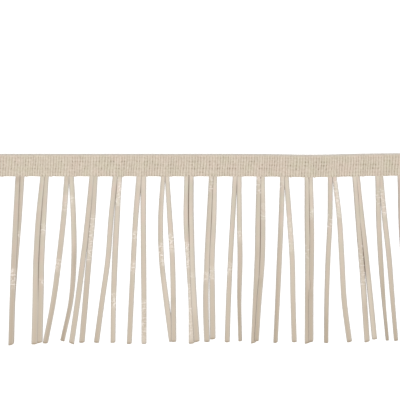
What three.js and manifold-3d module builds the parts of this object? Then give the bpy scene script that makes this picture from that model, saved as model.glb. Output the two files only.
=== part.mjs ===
// Fringe trim: pairs of narrow flat leather-look strips hanging from a ribbed knitted heading tape.
// It lies face up on a surface: the heading runs along X, the strips lie towards -Y, and its flat
// back is at z = 0. Millimetres, +Z up, origin at the middle of the underside.
import * as THREE from "three";
import { mergeVertices } from "three/addons/utils/BufferGeometryUtils.js";
import Module from "manifold-3d";

// The repeat along the trim
const PAIRS = 18;
const PAIR_PITCH = 19.2;
const RIBS_PER_PAIR = 9;
const TRIM_LENGTH = PAIRS * PAIR_PITCH;

// Heading tape
const HEADING_HEIGHT = 18;
const ROOT_BAND_HEIGHT = 1.6;
const ROOT_BAND_THICKNESS = 1.3;
const ROOT_BAND_STEPS = 2 * PAIRS;
const GAP = 0.3;
const TAPE_HEIGHT = HEADING_HEIGHT - ROOT_BAND_HEIGHT - GAP;

// The tape's raised face: one row for each line across the ribs, from its top edge down.
// depth is the distance below the top edge; crest and valley are the thickness there.
const TAPE_ROWS = [
  { depth: 0, crest: 1.2, valley: 1.0 },
  { depth: 1.5, crest: 1.9, valley: 1.55 },
  { depth: 3.0, crest: 1.65, valley: 1.4 },
  { depth: 5.8, crest: 2.0, valley: 1.45 },
  { depth: 8.3, crest: 1.75, valley: 1.5 },
  { depth: 11.6, crest: 1.75, valley: 1.5 },
  { depth: 14.0, crest: 2.0, valley: 1.5 },
  { depth: TAPE_HEIGHT, crest: 1.7, valley: 1.4 },
];

// The strips' upper ends lie inside the tape and push its face up a little over each pair
const BULGE_RISE = 0.35;
const BULGE_HALF_WIDTH = 3.8;
const BULGE_STARTS_AT = 4;

// The tape lies in one shallow dip along its length, and climbs a little towards its right end
const DIP_DEPTH = 0.7;
const DIP_PLACE = 89;
const DIP_HALF_WIDTH = 30;
const END_CLIMB = 0.5;

// Strips
const STRIP_WIDTH = 4;
const STRIP_ROOT_WIDTH = 3.45;
const WIDENS_OVER = 36;
const STRIP_THICKNESS = 1;
const STRIP_STEPS = 16;
const ROOT_INSET = 1;
const OVERLAP_LIFT = STRIP_THICKNESS + GAP;
const OVERLAP_RAMP = 0.09;

// One row for each strip, the left and then the right one of each pair. The first five columns
// are its centre's distance from the pair's own line, in mm: at the root, at a quarter, a half
// and three quarters of the way down, and at the tip. drop is how far its tip lies below the
// heading. over_from is the share of the way down from which it lies on its neighbour, and 1
// means that it lies on the surface all the way.
const STRIP_COLUMNS = ["root", "quarter", "half", "three_quarters", "tip", "drop", "over_from"];
const STRIP_ROWS = [
  [-3.3, -4.6, -5.4, -6.0, -6.6, 134.2, 1],
  [0.5, -0.2, -0.8, -1.4, -2.0, 133.6, 1],
  [-2.8, -4.1, -5.8, -7.0, -7.9, 134.9, 0.06],
  [1.0, -1.4, -4.2, -6.5, -7.4, 134.1, 1],
  [-2.4, -5.5, -7.2, -7.7, -8.5, 134.4, 1],
  [1.4, -1.2, -2.6, -3.2, -3.9, 133.4, 1],
  [-1.7, -4.3, -8.0, -12.5, -18.6, 133.8, 1],
  [2.1, 3.6, 4.0, 1.3, -5.4, 131.9, 1],
  [-1.5, -4.3, -7.9, -12.2, -17.2, 134.0, 1],
  [2.3, 0.1, -3.2, -5.9, -8.9, 133.3, 1],
  [-1.6, -4.6, -7.4, -11.8, -16.5, 133.2, 1],
  [2.2, 0.0, -1.7, -2.8, -3.2, 133.4, 1],
  [-1.6, -4.3, -6.1, -7.8, -9.4, 134.3, 1],
  [2.2, 1.9, 2.1, 2.4, 2.4, 133.9, 1],
  [-1.7, -3.5, -2.8, 1.0, 5.4, 132.4, 1],
  [2.1, 3.9, 5.9, 6.7, 7.3, 132.4, 0.8],
  [-1.7, -2.4, -0.4, 1.8, 1.9, 134.0, 1],
  [2.1, 2.0, 2.8, 4.1, 6.7, 132.4, 0.26],
  [-1.9, -3.4, -5.0, -5.6, -4.9, 132.7, 1],
  [1.9, 0.9, -0.5, -0.7, -0.2, 130.6, 1],
  [-1.7, -3.7, -5.3, -6.8, -7.9, 132.8, 1],
  [2.1, 2.1, 2.3, 1.8, 2.5, 132.1, 1],
  [-2.2, -2.7, -3.2, -4.5, -6.0, 133.4, 1],
  [1.6, 1.6, 1.1, -1.5, -3.9, 131.8, 0.48],
  [-2.3, -3.2, -4.6, -6.1, -7.7, 132.8, 1],
  [1.5, 3.5, 5.7, 6.4, 7.5, 132.4, 1],
  [-2.2, -1.8, -1.8, -1.1, -1.4, 133.0, 1],
  [1.6, 2.5, 2.5, 1.4, 1.4, 131.9, 0.48],
  [-2.6, -2.5, -4.1, -5.1, -5.6, 132.9, 1],
  [1.2, 5.0, 7.0, 8.9, 13.3, 132.2, 1],
  [-2.7, 0.1, 3.4, 5.8, 8.0, 132.6, 1],
  [1.1, 4.5, 7.7, 10.7, 14.0, 130.7, 1],
  [-3.2, -1.8, -0.4, 2.1, 5.0, 131.8, 1],
  [0.6, 3.0, 6.4, 9.3, 12.2, 132.0, 1],
  [-4.5, -3.4, -1.6, 0.2, 1.6, 132.0, 1],
  [-0.7, 1.2, 3.2, 5.0, 6.0, 131.6, 1],
];

const wasm = await Module();
wasm.setup();

const heading_material = new THREE.MeshStandardMaterial({ color: 0xd1c4b2, roughness: 0.95 });
const strip_material = new THREE.MeshStandardMaterial({ color: 0xd0c4b3, roughness: 0.5 });

// A bell curve: 1 at 0, falling off over a half width of 1
function bell(distance) {
  return Math.exp(-distance * distance);
}

// The line on which a pair hangs
function pairLine(pair) {
  return (pair + 0.5) * PAIR_PITCH - TRIM_LENGTH / 2;
}

// How far the heading's edges stray along Y at one place along the trim
function edgeStray(x) {
  const climb = END_CLIMB * THREE.MathUtils.smoothstep(x, DIP_PLACE, TRIM_LENGTH / 2);
  return climb - DIP_DEPTH * bell((x - DIP_PLACE) / DIP_HALF_WIDTH);
}

// How much the strips inside the tape lift its face at one place
function bulge(x, depth) {
  const from_start = x + TRIM_LENGTH / 2;
  const from_pair_line = (from_start % PAIR_PITCH) - PAIR_PITCH / 2;
  const fade = THREE.MathUtils.smoothstep(depth, 0, BULGE_STARTS_AT);
  return BULGE_RISE * bell(from_pair_line / BULGE_HALF_WIDTH) * fade;
}

// A closed mesh from rings of equally many points: each ring is joined to the next, and the first
// and the last are closed with a fan. The rings run anticlockwise seen from the last one.
function loft(rings) {
  const around = rings[0].length;
  const index = [];
  for (let ring = 0; ring + 1 < rings.length; ring++) {
    for (let point = 0; point < around; point++) {
      const here = ring * around + point;
      const beside = ring * around + ((point + 1) % around);
      index.push(here, beside, beside + around, here, beside + around, here + around);
    }
  }
  const last = (rings.length - 1) * around;
  for (let point = 1; point + 1 < around; point++) {
    index.push(0, point + 1, point, last, last + point, last + point + 1);
  }
  const geometry = new THREE.BufferGeometry();
  geometry.setAttribute("position", new THREE.Float32BufferAttribute(rings.flat(2), 3));
  geometry.setIndex(index);
  return geometry;
}

// Cross section of a flat-backed band along X: two points at z = 0, then its face. face gives
// [depth, thickness] pairs from the band's upper edge down.
function bandRing(x, face) {
  const ring = face.map(([depth, thickness]) => [x, edgeStray(x) - depth, thickness]);
  const upper_edge = [x, ring[0][1], 0];
  const lower_edge = [x, ring[ring.length - 1][1], 0];
  return [lower_edge, upper_edge, ...ring];
}

// The tape: a crest and a valley of points for each rib, flat at the back
function tapeGeometry() {
  const half_ribs = 2 * RIBS_PER_PAIR * PAIRS;
  const rings = [];
  for (let half_rib = 0; half_rib <= half_ribs; half_rib++) {
    const x = (half_rib / half_ribs - 0.5) * TRIM_LENGTH;
    const level = half_rib % 2 ? "crest" : "valley";
    const face = TAPE_ROWS.map((row) => [row.depth, row[level] + bulge(x, row.depth)]);
    rings.push(bandRing(x, face));
  }
  return loft(rings);
}

// The narrow band below the tape that joins the strips' roots
function rootBandGeometry() {
  const rings = [];
  for (let step = 0; step <= ROOT_BAND_STEPS; step++) {
    const x = (step / ROOT_BAND_STEPS - 0.5) * TRIM_LENGTH;
    const face = [
      [HEADING_HEIGHT - ROOT_BAND_HEIGHT, ROOT_BAND_THICKNESS],
      [HEADING_HEIGHT, ROOT_BAND_THICKNESS],
    ];
    rings.push(bandRing(x, face));
  }
  return loft(rings);
}

// One strip of four sides: its centre line is a smooth curve through its row's five places
function stripGeometry(strip, line) {
  const root_y = edgeStray(line) - HEADING_HEIGHT;
  const places = [strip.root, strip.quarter, strip.half, strip.three_quarters, strip.tip];
  const points = places.map((offset, i) => {
    const share = i / (places.length - 1);
    return new THREE.Vector3(line + offset, root_y - strip.drop * share, 0);
  });
  const curve = new THREE.CatmullRomCurve3(points);
  const rings = [];
  for (let step = 0; step <= STRIP_STEPS; step++) {
    const share = step / STRIP_STEPS;
    const centre = curve.getPoint(share);
    const along = curve.getTangent(share);
    if (step === 0) centre.addScaledVector(along, -ROOT_INSET);
    const widening = THREE.MathUtils.smoothstep(share * strip.drop, 0, WIDENS_OVER);
    const half_width = THREE.MathUtils.lerp(STRIP_ROOT_WIDTH, STRIP_WIDTH, widening) / 2;
    const side = new THREE.Vector3(-along.y, along.x, 0).multiplyScalar(half_width);
    const ramp = [strip.over_from - OVERLAP_RAMP, strip.over_from];
    const lift = strip.over_from < 1 ? THREE.MathUtils.smoothstep(share, ...ramp) : 0;
    const low = step === 0 ? 0 : lift * OVERLAP_LIFT;
    const high = low + STRIP_THICKNESS;
    const right = centre.clone().add(side);
    const left = centre.clone().sub(side);
    rings.push([
      [left.x, left.y, low],
      [right.x, right.y, low],
      [right.x, right.y, high],
      [left.x, left.y, high],
    ]);
  }
  return loft(rings);
}

// A closed mesh as a solid for joining
function toSolid(geometry) {
  const merged = mergeVertices(geometry);
  return new wasm.Manifold(
    new wasm.Mesh({
      numProp: 3,
      vertProperties: new Float32Array(merged.attributes.position.array),
      triVerts: new Uint32Array(merged.index.array),
    }),
  );
}

// A joined solid as a mesh's geometry
function toGeometry(solid) {
  const mesh = solid.getMesh();
  const geometry = new THREE.BufferGeometry();
  geometry.setAttribute("position", new THREE.BufferAttribute(mesh.vertProperties, mesh.numProp));
  geometry.setIndex(new THREE.BufferAttribute(mesh.triVerts, 1));
  return geometry;
}

// All strips, joined at their roots by the root band
function stripsGeometry() {
  let solid = toSolid(rootBandGeometry());
  STRIP_ROWS.forEach((row, number) => {
    const strip = Object.fromEntries(STRIP_COLUMNS.map((name, i) => [name, row[i]]));
    const line = pairLine(Math.floor(number / 2));
    solid = solid.add(toSolid(stripGeometry(strip, line)));
  });
  return toGeometry(solid);
}

function namedMesh(name, geometry, material) {
  const mesh = new THREE.Mesh(geometry, material);
  mesh.name = name;
  return mesh;
}

const trim = new THREE.Group();
trim.add(namedMesh("heading_tape", tapeGeometry(), heading_material));
trim.add(namedMesh("strips", stripsGeometry(), strip_material));

// The origin goes to the middle of the underside
const middle = new THREE.Box3().setFromObject(trim).getCenter(new THREE.Vector3());
trim.position.set(-middle.x, -middle.y, 0);

export default trim;
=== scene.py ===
import math

import bpy
import numpy as np
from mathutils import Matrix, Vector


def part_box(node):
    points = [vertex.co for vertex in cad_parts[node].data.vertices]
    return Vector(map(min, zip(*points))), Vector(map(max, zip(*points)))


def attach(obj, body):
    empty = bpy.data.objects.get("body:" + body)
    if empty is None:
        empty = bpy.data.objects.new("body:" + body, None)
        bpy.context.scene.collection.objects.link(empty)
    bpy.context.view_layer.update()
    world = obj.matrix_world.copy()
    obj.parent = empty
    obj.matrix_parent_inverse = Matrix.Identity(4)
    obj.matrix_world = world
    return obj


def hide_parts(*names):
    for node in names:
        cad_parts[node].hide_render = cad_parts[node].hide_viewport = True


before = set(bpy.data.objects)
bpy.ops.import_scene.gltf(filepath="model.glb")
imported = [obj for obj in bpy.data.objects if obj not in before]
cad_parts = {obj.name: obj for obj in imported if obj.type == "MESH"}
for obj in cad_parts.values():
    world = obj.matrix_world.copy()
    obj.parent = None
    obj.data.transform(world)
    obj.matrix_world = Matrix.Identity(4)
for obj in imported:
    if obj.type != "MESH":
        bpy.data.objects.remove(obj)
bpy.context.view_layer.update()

MM = 0.001

# The repeat along the trim, as in the part's source
PAIRS = 18
PAIR_PITCH = 19.2 * MM
RIBS_PER_PAIR = 9
RIB_PITCH = PAIR_PITCH / RIBS_PER_PAIR
TRIM_LENGTH = PAIRS * PAIR_PITCH

# Heading tape
HEADING_HEIGHT = 18 * MM
DIP_DEPTH = 0.7 * MM
DIP_PLACE = 89 * MM
DIP_HALF_WIDTH = 30 * MM
END_CLIMB = 0.5 * MM
BULGE_RISE = 0.35 * MM
BULGE_HALF_WIDTH = 3.8 * MM

# The tape's upper edge where it doesn't stray, from the CAD solid
TOP_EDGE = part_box("heading_tape")[1].y - END_CLIMB
HEADING_FOOT = TOP_EDGE - HEADING_HEIGHT

# The chain rows that cross the ribs: their depth below the tape's upper edge and their reach above
# and below it, the groove that they press into the ribs, how open they pull the holes between the
# ribs, and the least strength that a hole gets by chance, the most being 1 and less than 0 shut
CHAIN_ROWS = [
    {"depth": 3.0 * MM, "reach": 0.45 * MM, "groove": 0.18 * MM, "pull": 0.5, "least": 0.3},
    {"depth": 6.0 * MM, "reach": 0.6 * MM, "groove": 0.05 * MM, "pull": 1.0, "least": -0.5},
    {"depth": 8.8 * MM, "reach": 0.6 * MM, "groove": 0.1 * MM, "pull": 1.0, "least": -0.25},
    {"depth": 11.7 * MM, "reach": 0.6 * MM, "groove": 0.12 * MM, "pull": 1.0, "least": -0.4},
    {"depth": 14.6 * MM, "reach": 0.5 * MM, "groove": 0.07 * MM, "pull": 0.8, "least": -0.8},
    {"depth": 17.2 * MM, "reach": 0.35 * MM, "groove": 0.08 * MM, "pull": 0.9, "least": 0.2},
]
COLUMNS_PER_RIB = 6
HEADING_ROWS = 61

# The heights of the ribs' crests and of the tape's back. The back lies below the undersides of the
# strips, which are knitted in and don't show behind.
CREST_HEIGHT = 1.75 * MM
BACK_HEIGHT = -0.085 * MM
RIB_RELIEF = 0.85 * MM
HOLE_DEPTH = 0.6 * MM
# Each rib is a column of small stitches, which start at their own share of a stitch
STITCH_HEIGHT = 1.45 * MM
STITCH_RELIEF = 0.09 * MM
STITCH_JITTER = 0.25
CREST_JITTER = 0.05 * MM
# The ribs' places along the tape: what chance does to each gap, and two slow waves, each given as
# its reach and its length over 2 pi. The waves end level at the tape's ends.
GAP_JITTER = 0.07 * MM
WANDERS = [(0.55 * MM, 13 * MM), (0.35 * MM, 6.1 * MM)]
WANDER_FADES_OVER = 10 * MM
# How far a rib leans to the left by the foot, how much it spreads from the pair's line there, and
# how far chance bends it round each of three depths
SLANT = 0.9 * MM
SPLAY = 0.15
BEND = 0.09 * MM
BEND_REACH = 3 * MM
BEND_DEPTHS = np.array([4, 9, 14]) * MM
NEAR_PAIR_HALF_WIDTH = 4.4 * MM
STRAIGHT_AT_END = 4 * MM
# Towards its left end, from the first place to the second, the knit gets flatter and less open
FLATTER_LEFT = (-20 * MM, -100 * MM)
# The rolled upper edge, the painted shade below it, and the depths between which the tape
# turns greyer towards that edge
TOP_ROUNDING = 1.0 * MM
TOP_SHADE = 0.36
TOP_SHADE_DEPTH = 1.3 * MM
TOP_SHADE_REACH = 0.55 * MM
SELVEDGE_DEPTHS = (1.8 * MM, 0.4 * MM)
TOP_SCALLOP = 0.05 * MM
# The foot: its rounding, how far chance and a pair's strips push a rib's loop out, how much higher
# the gaps end, and how far up the loops begin
FOOT_ROUNDING = 0.6 * MM
LOOP_REACH = 0.15 * MM
LOOP_REACH_AT_PAIR = 0.2 * MM
FOOT_GAP_RISE = 0.1 * MM
LOOPS_FROM = 1.4 * MM
# One thread of each repeat hangs out of the foot as a loose loop, to the right of the pair's line
LOOSE_LOOP_REACH = 0.55 * MM
LOOSE_LOOP_PLACE = 5.2 * MM
LOOSE_LOOP_HALF_WIDTH = 0.8 * MM

# Strips
STRIP_WIDTH = 4.0 * MM
WIDENS_OVER = 50 * MM
STRIP_THICKNESS = 1.0 * MM
STRIP_CORNER = 0.22 * MM
ROOT_INSET = 6 * MM
# Strips lie level inside the tape, and take their turns over this distance below it
LEVEL_OVER = 8 * MM
OVERLAP_LIFT = 1.15 * MM
OVERLAP_RAMP = 0.09
STRIP_RINGS = 84
# Two strips of a pair that lie closer than the first distance touch; from the second on they are
# left as they are
TOUCH_WITHIN = (0.2 * MM, 0.5 * MM)
# A strip's low waves off the surface: their reach, and their fewest and most turns down the strip
WAVES = [(0.08 * MM, 1.6, 3.2), (0.03 * MM, 5, 9)]
# A strip rises a little where it comes out of the tape: how far, how far down and over what reach
RISE_OUT_OF_TAPE = 0.3 * MM
RISE_DEPTH = 5 * MM
RISE_REACH = 4 * MM
# How far a strip's edges bend down, in mm, below 0 for up
CUP_RANGE = (-0.12, 0.2)
# The painted shade in a crease is deepest where the strips overlap that much, and fades out over
# this half width. It turns from its upper to its lower strength over this share of the way down on
# both sides of the turn.
CREASE_OVERLAP = 0.6 * MM
CREASE_HALF_WIDTH = 1.1 * MM
CREASE_TURNS_OVER = 0.15
# Shares of half a strip's width: where its crease's painted shade sets in and is full, the same
# for its cut side, and where the grey rim, partly painted shade, is full
CREASED_BETWEEN = (0.82, 0.95)
SIDE_BETWEEN = (0.93, 0.99)
RIM_FROM = 0.8
# The turns, in degrees, between which a strip's lower part gets painted shade, as it is turned
# off the light, and the shares of the way down between which that sets in
TURNED_BETWEEN = (10, 24)
TURNED_FROM = (0.3, 0.6)
# How far one strip's UV lies from the next one's, so that no two are crinkled alike
UV_STEP = 41 * MM

# One row for each strip, the left and then the right one of each pair. The first seven columns
# mean the same as in the part's source: five distances in mm of its centre from the pair's own
# line, from the root to the tip, its drop below the heading in mm, and the share of the way down
# from which it lies on its neighbour. Near the root they bring a pair's strips closer than the
# part does, where one lies turned over the other's edge. Then its widths in mm at its root,
# halfway and at its tip, its turns about its own line in degrees, right edge up, at the same three
# places, how much further its left corner reaches than its right one in mm, how strong the painted
# shade in the crease beside its neighbour is above and towards its tip, and the share of the way
# down where the one turns into the other. A crease's painted shade is as dark as it gets at 1, and
# more than that makes it wider.
STRIP_COLUMNS = [
    "root", "quarter", "half", "three_quarters", "tip", "drop", "over_from",
    "wide_root", "wide_half", "wide_tip", "roll_root", "roll_half", "roll_tip",
    "cut", "crease", "crease_tip", "crease_to",
]
STRIP_ROWS = [
    [-2.8, -4.4, -5.4, -6.0, -6.6, 134.2, 1, 3.7, 4.1, 4.1, 15, 3, -5, 0.6, 0.5, 0.5, 0.65],
    [0.3, -0.4, -0.8, -1.4, -2.0, 133.6, 1, 3.7, 4.1, 4.1, 0, -3, 4, 0.6, 0.5, 0.5, 0.65],
    [-2.3, -3.9, -5.5, -6.75, -7.7, 134.7, 0.06, 3.7, 4.15, 4.2, 14, 2, -3, 1.6, 0.8, 0, 0.42],
    [0.9, -1.4, -4.2, -6.7, -7.5, 133.9, 1, 3.7, 4.0, 4.0, 0, 0, 0, 1.2, 0.8, 0, 0.42],
    [-1.75, -5.1, -7.2, -7.6, -8.4, 134.3, 1, 3.7, 4.3, 4.7, 15, 4, 0, 0.6, 0.85, 0, 0.68],
    [1.1, -1.0, -2.6, -3.5, -4.4, 133.2, 1, 3.7, 4.3, 4.7, 0, 0, 0, 1.3, 0.85, 0, 0.68],
    [-1.6, -4.3, -8.0, -12.5, -18.9, 133.6, 1, 3.9, 4.15, 3.95, 10, 3, -6, 0.8, 0.4, 0.4, 0.65],
    [1.9, 3.6, 4.0, 1.65, -5.25, 131.6, 1, 3.9, 4.0, 3.3, 0, -4, 16, -0.1, 0.4, 0.4, 0.65],
    [-0.85, -4.1, -8.0, -12.3, -17.2, 133.7, 1, 3.7, 4.1, 4.1, 15, 8, 2, -1.3, 0.5, 0.2, 0.4],
    [1.9, -0.2, -3.2, -6.0, -8.9, 133.0, 1, 3.7, 4.2, 4.3, 0, 3, 3, 0.7, 0.5, 0.2, 0.4],
    [-1.4, -4.7, -7.3, -11.9, -16.4, 133.0, 1, 3.9, 3.9, 4.0, 12, 4, -6, 0.1, 0.6, 0.3, 0.25],
    [2.1, 0.05, -1.65, -2.8, -3.2, 133.1, 1, 3.9, 4.35, 3.8, 0, 2, -8, 0.6, 0.6, 0.3, 0.25],
    [-1.4, -4.3, -6.1, -7.8, -9.4, 134.0, 1, 4.3, 3.9, 3.9, 8, 6, 4, 0.6, 0.6, 0.4, 0.65],
    [2.0, 1.9, 2.1, 2.4, 2.4, 133.9, 1, 4.3, 4.1, 3.85, 0, -4, 12, 0, 0.6, 0.4, 0.65],
    [-1.5, -3.5, -2.8, 1.0, 5.4, 132.2, 1, 3.4, 3.9, 4.2, 8, 6, 0, 0.1, 0.3, 0.2, 0.65],
    [1.7, 3.8, 5.9, 6.7, 7.0, 132.2, 0.8, 3.4, 4.0, 3.9, 0, 2, 3, 0, 0.3, 0.2, 0.65],
    [-1.8, -2.4, -0.25, 1.8, 2.0, 133.8, 1, 3.7, 4.2, 4.4, 0, 0, 0, 0.4, 1.5, 0.3, 0.45],
    [1.8, 1.8, 2.5, 4.0, 6.2, 132.2, 0.1, 3.7, 4.0, 4.4, -14, -6, 3, 0.9, 1.5, 0.3, 0.45],
    [-1.4, -3.1, -4.8, -5.8, -4.9, 132.4, 1, 3.7, 4.05, 4.3, 15, 7, 0, 0, 1.4, 0.1, 0.38],
    [1.3, 0.7, -0.7, -0.6, -0.2, 130.2, 1, 3.7, 4.05, 4.3, 0, 2, 2, 0.6, 1.4, 0.1, 0.38],
    [-1.5, -3.4, -5.3, -6.8, -7.9, 132.6, 1, 3.7, 3.75, 3.9, 13, 6, -6, 0.1, 0.6, 0.3, 0.65],
    [1.7, 1.9, 2.4, 1.8, 2.5, 131.8, 1, 3.7, 3.85, 2.85, 0, -4, -24, 0.5, 0.6, 0.3, 0.65],
    [-1.7, -2.4, -3.0, -4.5, -6.0, 133.2, 1, 3.7, 4.2, 4.0, 14, 8, 0, 1.6, 1.3, 0.3, 0.62],
    [1.1, 1.5, 1.1, -1.6, -3.8, 131.5, 0.68, 3.7, 3.9, 3.6, 0, -2, 14, 0.4, 1.3, 0.3, 0.62],
    [-2.1, -3.2, -4.6, -6.1, -7.7, 132.6, 1, 3.7, 3.9, 3.4, 12, 9, 14, 0.7, 0.6, 0.4, 0.3],
    [0.95, 3.5, 5.7, 6.4, 7.35, 132.2, 1, 3.7, 3.95, 3.85, 0, -5, 4, 0, 0.6, 0.4, 0.65],
    [-1.7, -1.5, -1.0, -1.2, -1.4, 132.8, 1, 3.7, 4.2, 4.1, 15, 12, 0, 1.3, 1.6, 0.25, 0.68],
    [1.05, 2.0, 2.0, 1.4, 1.4, 131.6, 0.76, 3.7, 3.8, 3.7, 0, 2, 2, 0.9, 1.6, 0.25, 0.68],
    [-2.3, -2.5, -4.1, -5.2, -5.6, 132.7, 1, 3.7, 3.75, 3.4, 8, 10, 14, 0, 0.4, 0.4, 0.65],
    [1.1, 5.0, 7.0, 8.9, 13.1, 132.0, 1, 3.4, 4.0, 4.0, 0, -4, 2, 0.4, 0.4, 0.4, 0.65],
    [-1.9, 0.75, 3.35, 5.8, 8.0, 132.4, 1, 3.7, 4.2, 4.05, 14, 12, -4, 0.8, 1.4, 0.6, 0.65],
    [0.2, 3.7, 7.4, 10.8, 14.0, 130.4, 1, 3.7, 3.95, 3.85, 0, 2, 4, 0.1, 1.4, 0.6, 0.65],
    [-2.7, -2.05, -0.4, 1.95, 5.0, 131.6, 1, 3.7, 3.8, 2.5, 13, 6, 24, 0, 0.5, 0.4, 0.2],
    [-0.35, 2.8, 6.4, 9.1, 11.95, 131.8, 1, 3.7, 3.85, 3.15, 0, -4, -16, 0, 0.5, 0.4, 0.2],
    [-4.2, -3.4, -1.6, 0.2, 1.6, 132.0, 1, 3.7, 4.1, 4.1, 14, 3, -4, 0.5, 0.5, 0.4, 0.65],
    [-0.7, 1.2, 3.2, 5.0, 6.0, 131.6, 1, 3.7, 4.1, 4.1, 0, -2, 3, 0.5, 0.5, 0.4, 0.65],
]
# The rounding of a strip's lower corners, and how raggedly its end is torn
TIP_ROUNDING = 0.45 * MM
TIP_RAGGED = 0.12 * MM

# Where a strip's face is crinkled and shines, with painted highlights on its crinkles' ridges: the
# strip's row, from which to which depth below the heading in mm, and how strongly
SHINY_PATCHES = [
    (3, 44, 49, 0.7), (2, 74, 90, 0.8), (5, 38, 46, 0.7), (5, 82, 86, 0.8), (6, 15, 28, 0.5),
    (6, 67, 75, 1.0), (7, 16, 23, 0.6), (9, 31, 68, 0.6), (11, 3, 23, 0.8), (11, 94, 105, 0.9),
    (12, 44, 51, 0.8), (12, 68, 77, 0.7), (13, 99, 133, 0.7), (14, 54, 71, 0.9), (15, 46, 60, 0.9),
    (16, 53, 73, 1.0), (16, 86, 130, 0.6), (17, 78, 80, 0.8), (18, 2, 12, 0.8), (18, 76, 84, 0.7),
    (19, 72, 82, 0.7), (21, 42, 52, 0.4), (20, 69, 79, 0.8), (22, 1, 14, 0.9), (23, 22, 34, 0.7),
    (24, 4, 9, 0.7), (25, 31, 60, 0.4), (27, 25, 34, 0.7), (26, 54, 65, 0.7), (28, 29, 41, 1.0),
    (29, 2, 32, 0.65), (30, 54, 88, 0.8), (32, 10, 24, 0.8), (33, 10, 32, 0.7),
]

# The stretches of strip with painted shade, or with painted light where the last value is below
# 0, partly for strips turned from or towards the light and partly for their own tone, given like
# the shiny patches, and the distances in mm over which both kinds fade at their ends
SHADED_STRIPS = [
    (2, -9, 140, 0.7), (3, -9, 140, 0.6), (4, 30, 70, 0.4), (5, -9, 30, 0.4), (6, -9, 140, 0.4),
    (7, 60, 140, 1.2), (9, -9, 140, 0.5), (11, 95, 140, -0.5), (13, 125, 140, -1.0),
    (14, 80, 140, -0.5), (16, 70, 140, -0.5), (17, -9, 110, -0.6), (18, 15, 80, -0.3),
    (20, -9, 60, -0.4), (21, 50, 100, 0.7), (21, 120, 140, -1.2), (22, -9, 55, -0.4),
    (23, 20, 105, 0.5), (24, -9, 45, -0.4), (26, -9, 85, -0.7), (27, 30, 140, 0.7),
    (28, 30, 110, -0.5), (30, -9, 100, -0.9), (31, 80, 140, -0.8), (32, -9, 50, -0.6),
    (32, 100, 140, -0.8), (33, -9, 30, 0.4), (33, 60, 140, 0.4),
]
SHINE_FADE = 1.5
SHADE_FADE = 8

# The camera's view: the place of the picture's middle, and the width that it takes in
VIEW_WIDTH = 320 * MM
VIEW_MIDDLE_X = -0.8 * MM
VIEW_MIDDLE_BELOW_TOP_EDGE = 36.9 * MM
CAMERA_HEIGHT = 1.2
SENSOR_WIDTH = 36

# The surface that the trim lies on, just below the tape's back
FLOOR_HALF_WIDTH = 2.5
FLOOR_HEIGHT = -0.1 * MM

# The yarn's plies: their ridges' distance and slant, and how far apart the ridges of Blender's
# wave pattern lie at a scale of 1
PLY_PITCH = 1.776 * MM
PLY_SLANT = 0.6
WAVE_LENGTH_AT_SCALE_1 = math.pi / 10

# Where all chance comes from, and a second one only for where each rib's stitches start
rng = np.random.default_rng(11)
stitch_rng = np.random.default_rng(5)


def bell(distance):
    """exp(-d^2): 1 at 0, falling off over a half width of 1."""
    return np.exp(-np.square(distance))


def ease(value, start, end):
    """3t^2 - 2t^3 of t, the share of the way from start to end, held to 0 and 1 outside."""
    t = np.clip((value - start) / (end - start), 0, 1)
    return t * t * (3 - 2 * t)


def edge_stray(x):
    """How far the heading strays along Y: climb * ease(x) to the right, less a shallow dip, which
    is a bell."""
    climb = END_CLIMB * ease(x, DIP_PLACE, TRIM_LENGTH / 2)
    return climb - DIP_DEPTH * bell((x - DIP_PLACE) / DIP_HALF_WIDTH)


def from_pair_line(x):
    """The distance along X to the nearest pair's line, less than 0 on its left."""
    return np.mod(x + TRIM_LENGTH / 2, PAIR_PITCH) - PAIR_PITCH / 2


def near_pair_line(x):
    """A bell across each pair's line, 1 on it."""
    return bell(from_pair_line(x) / NEAR_PAIR_HALF_WIDTH)


def bulge(x, depth):
    """How much the strips inside the tape lift its face: rise * a bell across each pair * an ease
    of the depth, so that it fades upwards."""
    return BULGE_RISE * bell(from_pair_line(x) / BULGE_HALF_WIDTH) * ease(depth, 0, 4 * MM)


def new_object(name, points, faces, corner_uv, attributes, caps=0):
    """A mesh object from arrays: points (n, 3), faces as rows of point numbers, a UV in metres for
    each face corner, and named values for each point. The last faces, as many as there are caps,
    stay flat and the others are smooth."""
    mesh = bpy.data.meshes.new(name)
    mesh.from_pydata(points.tolist(), [], faces)
    mesh.polygons.foreach_set("use_smooth", np.arange(len(faces)) < len(faces) - caps)
    layer = mesh.uv_layers.new(name="UVMap")
    layer.data.foreach_set("uv", corner_uv.astype(np.float32).ravel())
    for title, values in attributes.items():
        named = mesh.attributes.new(title, "FLOAT", "POINT")
        named.data.foreach_set("value", values.astype(np.float32).ravel())
    mesh.validate()
    made = bpy.data.objects.new(name, mesh)
    bpy.context.scene.collection.objects.link(made)
    return made


def between_gaps(values, rib, part):
    """Values known at each gap between two ribs, blended straight across the rib between them."""
    return values[..., rib] * (1 - part) + values[..., rib + 1] * part


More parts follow.
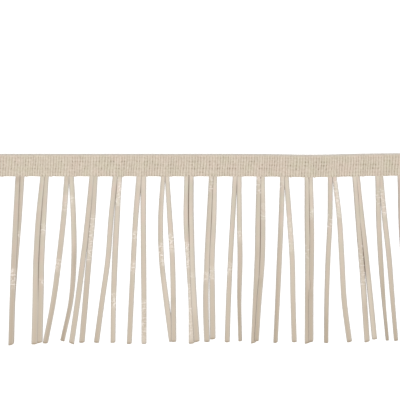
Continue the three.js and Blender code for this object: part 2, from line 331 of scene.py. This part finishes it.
def rib_places(rib, part, depth):
    """The even place along X of each of the heading's columns, and its place at each depth:
    even place = even pitch + chance + the sum of reach * sin(place / length) of the two waves,
    place = even place - slant * ease(depth) + splay * distance from the pair's line * ease(depth)
    + each gap's own bends, three bells of the depth. Columns between two gaps are blended."""
    ribs = rib[-1] + 1
    gap_place = np.arange(ribs + 1) * RIB_PITCH - TRIM_LENGTH / 2
    gap_place[1:-1] += rng.normal(0, GAP_JITTER, ribs - 1)
    wander = sum(reach * np.sin(gap_place / length) for reach, length in WANDERS)
    gap_place += wander * ease(TRIM_LENGTH / 2 - np.abs(gap_place), 0, WANDER_FADES_OVER)
    even_x = between_gaps(gap_place, rib, part)
    near_pair = near_pair_line(even_x)
    slant = -SLANT * (1 - 0.5 * near_pair) * ease(depth, 3 * MM, 17 * MM)
    splay = SPLAY * from_pair_line(even_x) * near_pair * ease(depth, 8 * MM, 16 * MM)
    bends = sum(
        between_gaps(rng.normal(0, BEND, ribs + 1), rib, part)
        * bell((depth - middle) / BEND_REACH)
        for middle in BEND_DEPTHS
    )
    off_end = ease(TRIM_LENGTH / 2 - np.abs(even_x), 0, STRAIGHT_AT_END)
    return even_x, even_x + (slant + splay + bends) * off_end


def holes_and_grooves(rib, part, depth):
    """How open the knit is, and how deep the chain rows press into the ribs: for each row a bell of
    the depth, times the row's groove, or times its pull and a strength drawn for each gap."""
    hole, groove = 0.0, 0.0
    for row in CHAIN_ROWS:
        strength = rng.uniform(row["least"], 1, rib[-1] + 2)
        along = bell((depth - row["depth"]) / row["reach"])
        hole = hole + row["pull"] * between_gaps(strength, rib, part) * along
        groove = groove + row["groove"] * along
    return hole, groove


def knitted_face(even_x, rib, part, depth):
    """The height of the knitted face, how far each point is up its rib's round (0 in the gap, 1 on
    the crest), and how deep it lies in a hollow, 0 to 1, raised below the upper edge, where the
    material paints the rolled edge's shade; the hollow sets the yarn's painted shade.
    height = valley + (top - valley) * sqrt(1 - u^2) + bulge, u going from -1 to 1 across each rib,
    and getting there sooner the more open the knit is;
    crest = crest height - groove, valley = crest - relief - hole depth * hole,
    top = crest + chance + stitch relief * sin(2 pi (depth / stitch height + the rib's own share)).
    The relief is less near the upper edge, at the pairs and towards the left."""
    ribs = rib[-1] + 1
    near_pair = near_pair_line(even_x)
    left = ease(even_x, *FLATTER_LEFT)
    hole, groove = holes_and_grooves(rib, part, depth)
    hole = np.clip(hole * (1 - 0.1 * near_pair), 0, 1) * (1 - 0.1 * left)
    across = np.clip(np.abs(2 * part - 1) / (1 - (0.25 + 0.15 * near_pair) * hole), 0, 1)
    dome = np.sqrt(1 - np.square(across))
    relief = RIB_RELIEF * (0.6 + 0.4 * ease(depth, 1 * MM, 3.5 * MM)) * (1 - 0.12 * near_pair)
    crest = CREST_HEIGHT - groove
    valley = crest - relief * (1 - 0.08 * left) - HOLE_DEPTH * hole
    top = crest + rng.normal(0, CREST_JITTER, ribs)[rib]
    offset = stitch_rng.normal(0, STITCH_JITTER, ribs)[rib]
    top = top + STITCH_RELIEF * np.sin(2 * math.pi * (depth / STITCH_HEIGHT + offset))
    lift = bulge(even_x, depth)
    face = valley + (top - valley) * dome + lift
    hollow = np.clip((crest + lift - face) / (RIB_RELIEF + HOLE_DEPTH), 0, 1)
    # Painted shade: the rolled upper edge's shade, painted on the ribs just below it
    top_shade = TOP_SHADE * bell((depth - TOP_SHADE_DEPTH) / TOP_SHADE_REACH)
    return face, dome, np.maximum(hollow, top_shade)


def rounding(share, least):
    """sqrt(1 - (1 - share)^2), a quarter circle's height, with the share held to least and 1."""
    return np.sqrt(1 - np.square(1 - np.clip(share, least, 1)))


def skin_faces(top, under):
    """The faces of a closed skin between two grids of point numbers that meet along their first and
    last rows: quads over both and along those rows, and one many-sided face at each end."""
    grids = (top, under[::-1], np.stack([under[0], top[0]]), np.stack([top[-1], under[-1]]))
    quads = np.concatenate([
        np.stack([g[:-1, :-1], g[1:, :-1], g[1:, 1:], g[:-1, 1:]], axis=-1).reshape(-1, 4)
        for g in grids
    ]).tolist()
    ends = [
        [*top[::-1, 0].tolist(), *under[:, 0].tolist()],
        [*top[:, -1].tolist(), *under[::-1, -1].tolist()],
    ]
    return quads, ends


def make_heading():
    """The knitted tape as one closed skin: a grid whose columns follow the ribs and whose rows are
    depths below the upper edge, closed by a flat back.
    z = back + (knitted face - back) * the upper edge's rounding * the foot's rounding;
    y = upper edge - depth - (loop * dome - gap rise) * ease(height above the foot), so each rib's
    loop ends a little lower than the gap beside it, and the upper edge is scalloped likewise."""
    ribs = RIBS_PER_PAIR * PAIRS
    at = np.arange(ribs * COLUMNS_PER_RIB + 1) / COLUMNS_PER_RIB
    rib = np.minimum(at.astype(int), ribs - 1)
    part = at - rib
    depth = np.linspace(0, HEADING_HEIGHT, HEADING_ROWS)[:, None]
    even_x, x = rib_places(rib, part, depth)
    face, dome, hollow = knitted_face(even_x, rib, part, depth)

    near_pair = near_pair_line(even_x)
    foot = HEADING_HEIGHT - depth
    foot_round = rounding(foot / FOOT_ROUNDING, 0.12)
    foot_round = foot_round + (1 - foot_round) * near_pair
    back = np.full(face.shape, BACK_HEIGHT)
    face = back + (face - back) * rounding(depth / TOP_ROUNDING, 0.05) * foot_round
    loop = rng.uniform(0, LOOP_REACH, ribs)[rib] + LOOP_REACH_AT_PAIR * near_pair
    from_loose_loop = (from_pair_line(even_x) - LOOSE_LOOP_PLACE) / LOOSE_LOOP_HALF_WIDTH
    loop = loop + LOOSE_LOOP_REACH * bell(from_loose_loop)
    y = TOP_EDGE + edge_stray(even_x) - depth
    y = y - (loop * dome - FOOT_GAP_RISE) * ease(foot, LOOPS_FROM, 0)
    y = y + TOP_SCALLOP * (dome - 0.5) * ease(depth, TOP_ROUNDING, 0)

    back_rows = [0, HEADING_ROWS // 2, HEADING_ROWS - 1]
    front = np.stack([x, y, face], axis=-1)
    behind = np.stack([x, y, back], axis=-1)[back_rows]
    points = np.concatenate([front, behind])
    index = np.arange(points[..., 0].size).reshape(points.shape[:2])
    quads, ends = skin_faces(index[:HEADING_ROWS], index[HEADING_ROWS:])
    points = points.reshape(-1, 3)
    corners = np.concatenate([np.ravel(quads), *ends])
    none = np.zeros((len(back_rows), x.shape[1]))
    selvedge = ease(depth, *SELVEDGE_DEPTHS) + 0 * x
    # hollow sets the yarn's painted shade, selvedge its greyer tint by the upper edge
    named = {
        "hollow": np.concatenate([hollow, none]),
        "selvedge": np.concatenate([selvedge, none]),
    }
    return new_object("heading_knit", points, quads + ends, points[corners, :2], named, len(ends))


def bar_profile():
    """The section of a strip as (points, 2): a bar 2 wide and 2 high in its own units, its corners
    rounded by three points each, with four points more along each broad side."""
    corner_x = 2 * STRIP_CORNER / STRIP_WIDTH
    corner_z = 2 * STRIP_CORNER / STRIP_THICKNESS
    points = []
    for turn, (sign_x, sign_z) in enumerate([(1, 1), (-1, 1), (-1, -1), (1, -1)]):
        for angle in (turn * 90 + np.array([0, 45, 90])) * math.pi / 180:
            points.append((
                sign_x * (1 - corner_x) + corner_x * math.cos(angle),
                sign_z * (1 - corner_z) + corner_z * math.sin(angle),
            ))
        if turn % 2 == 0:
            points += [(share * sign_x, sign_z) for share in (0.65, 0.25, -0.25, -0.65)]
    return np.array(points)[::-1]


def through_places(places, share):
    """Smooth curves through evenly spaced values, one for each row of places: between two of them
    it is the cubic whose slope at each is half the difference of that value's neighbours."""
    slope = np.gradient(places, axis=1)
    last = places.shape[1] - 2
    piece = np.clip((share * (last + 1)).astype(int), 0, last)
    t = share * (last + 1) - piece
    cubic = 2 * t**3 - 3 * t**2
    return (
        places[:, piece] * (1 + cubic) - places[:, piece + 1] * cubic
        + slope[:, piece] * (t**3 - 2 * t**2 + t)
        + slope[:, piece + 1] * (t**3 - t**2)
    )


def slow_wave(share, fewest, most):
    """1 + sin of a number of turns down each strip, drawn between fewest and most."""
    turns = rng.uniform(fewest, most, (2 * PAIRS, 1))
    return 1 + np.sin(2 * math.pi * (share * turns + rng.random((2 * PAIRS, 1))))


def gap_inside_pair(x, width):
    """The width of the gap between the two strips of each pair, less than 0 where they overlap."""
    return x[1::2] - x[::2] - (width[1::2] + width[::2]) / 2


def press_together(x, width):
    """Closes the narrow gaps inside a pair: where the gap between its two strips is narrow they
    both move by half of gap * (1 - ease(gap)), so that they touch, but an overlap stays."""
    gap = gap_inside_pair(x, width)
    move = np.where(gap > 0, gap * (1 - ease(gap, *TOUCH_WITHIN)), 0) / 2
    pressed = x.copy()
    pressed[::2] += move
    pressed[1::2] -= move
    return pressed


def unit(vectors):
    """Each vector over its length."""
    return vectors / np.linalg.norm(vectors, axis=-1, keepdims=True)


def rolls(table, inside):
    """Each strip's turn about its own line in radians, a smooth curve through its three turns."""
    root, half, tip = table["roll_root"], table["roll_half"], table["roll_tip"]
    turns = np.concatenate([root, (root + half) / 2, half, (half + tip) / 2, tip], axis=1)
    return np.radians(through_places(turns, inside))


def strip_lines(table, share):
    """Each strip's way down, as its places x and y and its width: x is the smooth curve through
    the table's five places, pressed together with its neighbour's; y is the heading's foot - drop
    * share; the width eases from root to half over the first part, and from half to tip from
    halfway on."""
    inside = np.clip(share, 0, 1)
    drop = table["drop"] * MM
    line_x = (np.arange(2 * PAIRS)[:, None] // 2 + 0.5) * PAIR_PITCH - TRIM_LENGTH / 2
    places = np.concatenate([table[name] for name in STRIP_COLUMNS[:5]], axis=1) * MM
    root, half, tip = (table[name] * MM for name in ("wide_root", "wide_half", "wide_tip"))
    width = half + (tip - half) * ease(inside, 0.5, 0.9)
    width = width + (root - half) * ease(inside * drop, WIDENS_OVER, 0)
    x = press_together(line_x + through_places(places, inside), width)
    y = HEADING_FOOT + edge_stray(line_x) - drop * share
    return x, y, width


def strip_rings(table, share, profile):
    """The rings of all strips, (strips, rings, points, 3). The height is the lift over the
    neighbour, plus slow waves, plus what the roll needs to keep the lower edge off the surface.
    Each ring is the section carried to its place:
    line + across * width / 2 * px + up * (thickness / 2 * pz - cup * px^2).
    The last ring's y is then moved by cut * px / 2 + rounding * px^4 and a little at random."""
    inside = np.clip(share, 0, 1)
    x, y, width = strip_lines(table, share)
    roll = rolls(table, inside) * ease(share * table["drop"] * MM, 0, LEVEL_OVER)
    over = table["over_from"]
    lift = OVERLAP_LIFT * ease(inside, over - OVERLAP_RAMP, over) * (over < 1)
    waves = sum(reach * slow_wave(inside, fewest, most) for reach, fewest, most in WAVES)
    down = inside * table["drop"] * MM
    out_of_tape = RISE_OUT_OF_TAPE * bell((down - RISE_DEPTH) / RISE_REACH)
    z = STRIP_THICKNESS / 2 + lift + waves * ease(inside, 0, 0.1) + out_of_tape
    z = z + width / 2 * np.abs(np.sin(roll))
    line = np.stack([x, y, z], axis=-1)
    along = unit(np.gradient(line, axis=1))
    level = unit(np.stack([-along[..., 1], along[..., 0], 0 * x], axis=-1))
    square = np.cross(level, along)
    across = level * np.cos(roll)[..., None] + square * np.sin(roll)[..., None]
    up = np.cross(across, along)
    cup = rng.uniform(*CUP_RANGE, (2 * PAIRS, 1, 1)) * MM
    wide = profile[:, 0] * width[..., None] / 2
    high = profile[:, 1] * STRIP_THICKNESS / 2 - cup * np.square(profile[:, 0])
    rings = (line[:, :, None] + across[:, :, None] * wide[..., None]
             + up[:, :, None] * high[..., None])
    torn = rng.uniform(-TIP_RAGGED, TIP_RAGGED, rings.shape[::2])
    torn = torn + table["cut"] * MM * profile[:, 0] / 2 + TIP_ROUNDING * profile[:, 0] ** 4
    rings[:, -1, :, 1] += torn
    return rings


def crease_shades(table, share, profile):
    """How much painted shade each point gets in the crease inside its pair, (strips, rings,
    points):
    the pair's depth, turning from its upper to its lower one, * a bell of the gap there, on the
    edge that faces the neighbour."""
    x, _, width = strip_lines(table, share)
    near = bell((gap_inside_pair(x, width) + CREASE_OVERLAP) / CREASE_HALF_WIDTH)
    start, end = table["crease_to"] - CREASE_TURNS_OVER, table["crease_to"] + CREASE_TURNS_OVER
    fading = (table["crease_tip"] - table["crease"]) * ease(share, start, end)
    near = np.repeat(near, 2, axis=0) * (table["crease"] + fading)
    inward = profile[:, 0] * np.where(np.arange(len(x)) % 2, -1, 1)[:, None]
    return near[..., None] * ease(inward, *CREASED_BETWEEN)[:, None]


def patches_down(patches, depth, fade):
    """Each strip's value at each depth in mm: the sum of its patches' strengths, each eased in and
    out over the fade on both sides of its ends."""
    total = np.zeros(depth.shape)
    for strip, start, end, strength in patches:
        inward = ease(depth[strip], start - fade, start + fade)
        total[strip] += strength * inward * ease(depth[strip], end + fade, end - fade)
    return total


def make_strips():
    """All strips as one mesh: rings of the section down each strip's line, joined by quads and
    closed by one face at each end. The UV is the way round the section and down the strip. Each
    point carries what the material asks for: how shiny it is, which also sets its painted
    highlights, how much painted shade it gets (painted light below 0), how far down it is (share,
    which also sets the painted shade down the strip), how near the long edges it is (rim, partly
    painted shade) or on them (side), and how much painted shade its crease and its turn give."""
    table = {
        name: np.array([row[column] for row in STRIP_ROWS], float)[:, None]
        for column, name in enumerate(STRIP_COLUMNS)
    }
    profile = bar_profile()
    inset = ROOT_INSET / (table["drop"].mean() * MM)
    share = np.concatenate([[-inset, -inset / 2], np.linspace(0, 1, STRIP_RINGS)])
    rings = strip_rings(table, share, profile)
    strips, steps, points = rings.shape[:3]
    index = np.arange(strips * steps * points).reshape(strips, steps, points)
    beside = np.roll(index, -1, axis=2)
    quads = np.stack([index[:, :-1], beside[:, :-1], beside[:, 1:], index[:, 1:]], axis=-1)
    sides = np.diff(np.concatenate([profile, profile[:1]]), axis=0)
    sides = np.linalg.norm(sides * [STRIP_WIDTH / 2, STRIP_THICKNESS / 2], axis=1)
    around = np.concatenate([[0], np.cumsum(sides)]) + np.arange(strips)[:, None] * UV_STEP
    u = np.broadcast_to(around[:, None], (strips, steps, points + 1))
    v = np.broadcast_to((table["drop"] * share * MM)[..., None], u.shape)
    uv = np.stack([u, v], axis=-1)
    quad_uv = np.stack([uv[:, :-1, :-1], uv[:, :-1, 1:], uv[:, 1:, 1:], uv[:, 1:, :-1]], axis=3)
    corner_uv = np.concatenate([
        quad_uv.reshape(-1, 2), uv[:, 0, -2::-1].reshape(-1, 2), uv[:, -1, :-1].reshape(-1, 2),
    ])
    faces = quads.reshape(-1, 4).tolist() + index[:, 0, ::-1].tolist() + index[:, -1].tolist()
    outward = np.abs(profile[:, 0])
    turned = ease(np.abs(rolls(table, np.clip(share, 0, 1))), *np.radians(TURNED_BETWEEN))
    depth = table["drop"] * share
    named = {
        "gloss": patches_down(SHINY_PATCHES, depth, SHINE_FADE)[..., None],
        "shade": patches_down(SHADED_STRIPS, depth, SHADE_FADE)[..., None],
        "share": np.clip(share, 0, 1)[None, :, None],
        "rim": np.where(outward > RIM_FROM, 1, outward**2)[None, None],
        "side": ease(outward, *SIDE_BETWEEN)[None, None],
        "crease": crease_shades(table, share, profile),
        "turned": (turned * ease(share, *TURNED_FROM))[..., None],
    }
    named = {title: np.broadcast_to(value, index.shape) for title, value in named.items()}
    return new_object(
        "strips_leather", rings.reshape(-1, 3), faces, corner_uv, named, 2 * strips)


def linear(hex_colour):
    """An sRGB hex colour as linear light, with an alpha of 1."""
    channels = [int(hex_colour[i:i + 2], 16) / 255 for i in (1, 3, 5)]
    light = [c / 12.92 if c <= 0.04045 else ((c + 0.055) / 1.055) ** 2.4 for c in channels]
    return (*light, 1.0)


def per(size):
    """The scale of a pattern whose repeat has that size in metres."""
    return 1 / size


def add(tree, kind, inputs, **settings):
    """Adds a node with its settings; an input is a value, or a socket to link."""
    made = tree.nodes.new(kind)
    for name, value in settings.items():
        setattr(made, name, value)
    for name, value in inputs.items():
        if isinstance(value, bpy.types.NodeSocket):
            tree.links.new(value, made.inputs[name])
        else:
            made.inputs[name].default_value = value
    return made


def new_material(name):
    """A material with a Principled shader, its node tree and that shader."""
    material = bpy.data.materials.new(name)
    material.use_nodes = True
    tree = material.node_tree
    return material, tree, tree.nodes["Principled BSDF"]


def blend(tree, factor, first, second):
    """One colour turning into another by a factor."""
    mix = add(tree, "ShaderNodeMix", {"Factor": factor, 6: first, 7: second}, data_type="RGBA")
    return mix.outputs["Result"]


def spread(tree, value, start, end, low=0.0, high=1.0):
    """A value's way from start to end, as a way from low to high, held there outside."""
    inputs = {"Value": value, "From Min": start, "From Max": end, "To Min": low, "To Max": high}
    return add(tree, "ShaderNodeMapRange", inputs).outputs[0]


def attribute(tree, name):
    """A value that the piece's points carry."""
    return add(tree, "ShaderNodeAttribute", {}, attribute_name=name).outputs["Fac"]


def noise(tree, place, size, **inputs):
    """Soft noise whose patches are about that size."""
    inputs = {"Vector": place, "Scale": per(size), **inputs}
    return add(tree, "ShaderNodeTexNoise", inputs).outputs[0]


def toward(tree, colour, value, span, most, hex_colour):
    """A colour that turns into another, by that much at most, as a value goes over its span."""
    return blend(tree, spread(tree, value, *span, 0, most), colour, linear(hex_colour))


def uneven_dye(tree, colour, place, size, most, redder, greener):
    """A colour that turns redder in some patches and greener in others."""
    patches = noise(tree, place, size, Detail=1.0)
    colour = toward(tree, colour, patches, (0.5, 0.68), most, redder)
    return toward(tree, colour, patches, (0.48, 0.3), most, greener)


def spun_yarn():
    """Spun polyester knitting yarn: matte, with a soft sheen of loose fibre ends, its plies
    twisted round each other, its dye a little uneven, with painted shade between the ribs and
    below the rolled upper edge, and greyer towards that edge."""
    material, tree, shader = new_material("spun_polyester_yarn")
    place = add(tree, "ShaderNodeTexCoord", {}).outputs["Object"]
    dye = noise(tree, place, 5 * MM)
    colour = blend(tree, spread(tree, dye, 0.3, 0.7), linear("#bfb4a4"), linear("#c7bbab"))
    colour = uneven_dye(tree, colour, place, 12 * MM, 0.6, "#c6b6a8", "#bfb8a3")
    # Tufts of fibre ends, shaded and lit. Real ones are about 0.3 mm wide and wouldn't show, so
    # they are drawn coarser.
    fuzz = noise(tree, place, 1.6 * MM, Detail=1.0)
    colour = toward(tree, colour, fuzz, (0.5, 0.7), 0.25, "#a2957f")
    colour = toward(tree, colour, fuzz, (0.5, 0.3), 0.25, "#dcd2c4")
    # Painted shade between the ribs and below the rolled upper edge, then greyer towards that edge
    colour = toward(tree, colour, attribute(tree, "hollow"), (0.2, 1), 1, "#80725c")
    colour = toward(tree, colour, attribute(tree, "selvedge"), (0, 1), 0.7, "#c0bab3")
    # The plies' slanting ridges and the fibres. The real ridges are about 0.5 mm apart and the
    # real fibres 0.02 mm thick, and both are drawn coarser, so that they show.
    twist = add(tree, "ShaderNodeMapping", {
        "Vector": place, "Rotation": (0, 0, PLY_SLANT),
    }).outputs[0]
    plies = add(tree, "ShaderNodeTexWave", {
        "Vector": twist, "Scale": per(PLY_PITCH) * WAVE_LENGTH_AT_SCALE_1, "Distortion": 1.5,
    }).outputs[1]
    fibres = noise(tree, place, 0.25 * MM)
    relief = add(tree, "ShaderNodeMath", {0: plies, 1: fibres}, operation="ADD").outputs[0]
    bump = add(tree, "ShaderNodeBump", {
        "Height": relief, "Strength": 0.4, "Distance": 0.06 * MM,
    }).outputs[0]
    shader.inputs["Roughness"].default_value = 0.9
    shader.inputs["Sheen Weight"].default_value = 0.1
    shader.inputs["Sheen Roughness"].default_value = 0.5
    tree.links.new(colour, shader.inputs["Base Color"])
    tree.links.new(bump, shader.inputs["Normal"])
    return material


def faux_leather():
    """Polyurethane faux leather, coated and embossed: a fine pebble grain with a satin gloss,
    greyer towards its cut edges, partly by painted shade, and crinkled patches where the coat has
    kept a wet shine, with painted highlights on their ridges, and painted shade down the strips,
    where they turn and in the creases."""
    material, tree, shader = new_material("polyurethane_faux_leather")
    coords = add(tree, "ShaderNodeTexCoord", {})
    place, along = coords.outputs["Object"], coords.outputs["UV"]
    gloss, share, shade = (attribute(tree, name) for name in ("gloss", "share", "shade"))
    # The coat's own colour, mottled and a little unevenly dyed, then darkened towards the tip by
    # painted shade of the light falling off down the strip, and given painted shade on some
    # stretches and painted light on others, partly for strips turned from or towards the light
    # and partly for their own tone
    mottle = noise(tree, place, 9 * MM)
    colour = blend(tree, spread(tree, mottle, 0.3, 0.7), linear("#b5a998"), linear("#beb2a1"))
    colour = uneven_dye(tree, colour, place, 11 * MM, 0.7, "#bfab9d", "#b4ae9a")
    colour = toward(tree, colour, share, (0, 1), 1, "#a79884")
    colour = toward(tree, colour, shade, (0, 1), 0.35, "#8a7660")
    colour = toward(tree, colour, shade, (0, -1), 0.35, "#d6ccbe")
    # Painted shade where the strip is turned off the light; darker at its torn end; greyer along
    # its edges, partly by painted shade; browner on its cut sides; painted shade in the crease
    colour = toward(tree, colour, attribute(tree, "turned"), (0, 1), 0.5, "#95846e")
    colour = toward(tree, colour, share, (0.98, 1), 0.3, "#8f7a64")
    colour = toward(tree, colour, attribute(tree, "rim"), (0, 1), 0.75, "#aaa399")
    colour = toward(tree, colour, attribute(tree, "side"), (0, 1), 1, "#8a7763")
    colour = toward(tree, colour, attribute(tree, "crease"), (0, 1), 1, "#634a30")
    # The shiny patches' crinkles, longer across the strip than down it. Their ridges get painted
    # highlights.
    wrinkles = add(tree, "ShaderNodeMapping", {
        "Vector": along, "Scale": (per(2.8 * MM), per(1.5 * MM), 1),
    }).outputs[0]
    crinkle = noise(tree, wrinkles, 1.0, Detail=1.0)
    glint = spread(tree, crinkle, 0.54, 0.64)
    shine = add(tree, "ShaderNodeMath", {0: glint, 1: gloss}, operation="MULTIPLY").outputs[0]
    colour = toward(tree, colour, shine, (0, 1), 0.52, "#e0d8d2")
    # The embossed pebbles, as wide as on real goods, and the folds of the crinkles over them
    pebbles = add(tree, "ShaderNodeTexVoronoi", {
        "Vector": place, "Scale": per(0.55 * MM),
    }).outputs[0]
    grain = add(tree, "ShaderNodeBump", {
        "Height": pebbles, "Strength": 0.25, "Distance": 0.05 * MM,
    }).outputs[0]
    folds = add(tree, "ShaderNodeBump", {
        "Height": crinkle, "Strength": gloss, "Distance": 0.5 * MM, "Normal": grain,
    }).outputs[0]
    tree.links.new(colour, shader.inputs["Base Color"])
    tree.links.new(spread(tree, gloss, 0, 1, 0.5, 0.33), shader.inputs["Roughness"])
    tree.links.new(folds, shader.inputs["Normal"])
    return material


def white_board():
    """A matte white paper board, its tooth barely showing."""
    material, tree, shader = new_material("white_paper_board")
    place = add(tree, "ShaderNodeTexCoord", {}).outputs["Object"]
    # Paper's real tooth, under 0.1 mm, wouldn't show, so it is drawn this coarse
    tooth = noise(tree, place, 4 * MM)
    colour = blend(tree, tooth, linear("#f6f6f5"), linear("#fafafa"))
    tree.links.new(colour, shader.inputs["Base Color"])
    shader.inputs["Roughness"].default_value = 0.9
    return material


def finish_piece(piece, material, node):
    """Gives a piece its material and its body, and hides the CAD node that it stands for."""
    piece.data.materials.append(material)
    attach(piece, "root")
    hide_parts(node)
    return piece


def make_trim():
    """The trim's two pieces. The tape is a sheet knitted to shape, and lies as it was knitted."""
    heading = finish_piece(make_heading(), spun_yarn(), "heading_tape")
    strips = finish_piece(make_strips(), faux_leather(), "strips")


def make_floor():
    """The surface as one flat square, facing up."""
    corners = np.array([[-1, -1], [1, -1], [1, 1], [-1, 1]]) * FLOOR_HALF_WIDTH
    points = np.column_stack([corners, np.full(4, FLOOR_HEIGHT)])
    floor = new_object("floor", points, [[0, 1, 2, 3]], points[:, :2], {})
    floor.data.materials.append(white_board())


def soft_box(name, place, size, energy):
    """A round soft light at a place, turned to the middle of the trim."""
    light = bpy.data.lights.new(name, "AREA")
    light.shape = "DISK"
    light.size = size
    light.energy = energy
    box = bpy.data.objects.new(name, light)
    bpy.context.scene.collection.objects.link(box)
    box.location = place
    box.rotation_euler = (-box.location.normalized()).to_track_quat("-Z", "Y").to_euler()


def make_light():
    """A dim white dome, one wide soft box overhead, and a small one lower, towards the tips."""
    world = bpy.data.worlds.new("studio")
    bpy.context.scene.world = world
    world.use_nodes = True
    world.node_tree.nodes["Background"].inputs["Color"].default_value = (1, 1, 1, 1)
    world.node_tree.nodes["Background"].inputs["Strength"].default_value = 0.5
    soft_box("overhead", place=(0, 0, 2.2), size=0.9, energy=33)
    soft_box("key", place=(-0.12, -0.45, 1.0), size=0.2, energy=2.0)


def make_camera():
    """A long lens straight above, its picture VIEW_WIDTH wide on the surface."""
    scene = bpy.context.scene
    data = bpy.data.cameras.new("camera")
    data.sensor_width = SENSOR_WIDTH
    data.lens = SENSOR_WIDTH * CAMERA_HEIGHT / VIEW_WIDTH
    camera = bpy.data.objects.new("camera", data)
    camera.location = (VIEW_MIDDLE_X, TOP_EDGE - VIEW_MIDDLE_BELOW_TOP_EDGE, CAMERA_HEIGHT)
    scene.collection.objects.link(camera)
    scene.camera = camera
    scene.view_settings.view_transform = "Standard"


make_camera()
make_light()
make_floor()
make_trim()
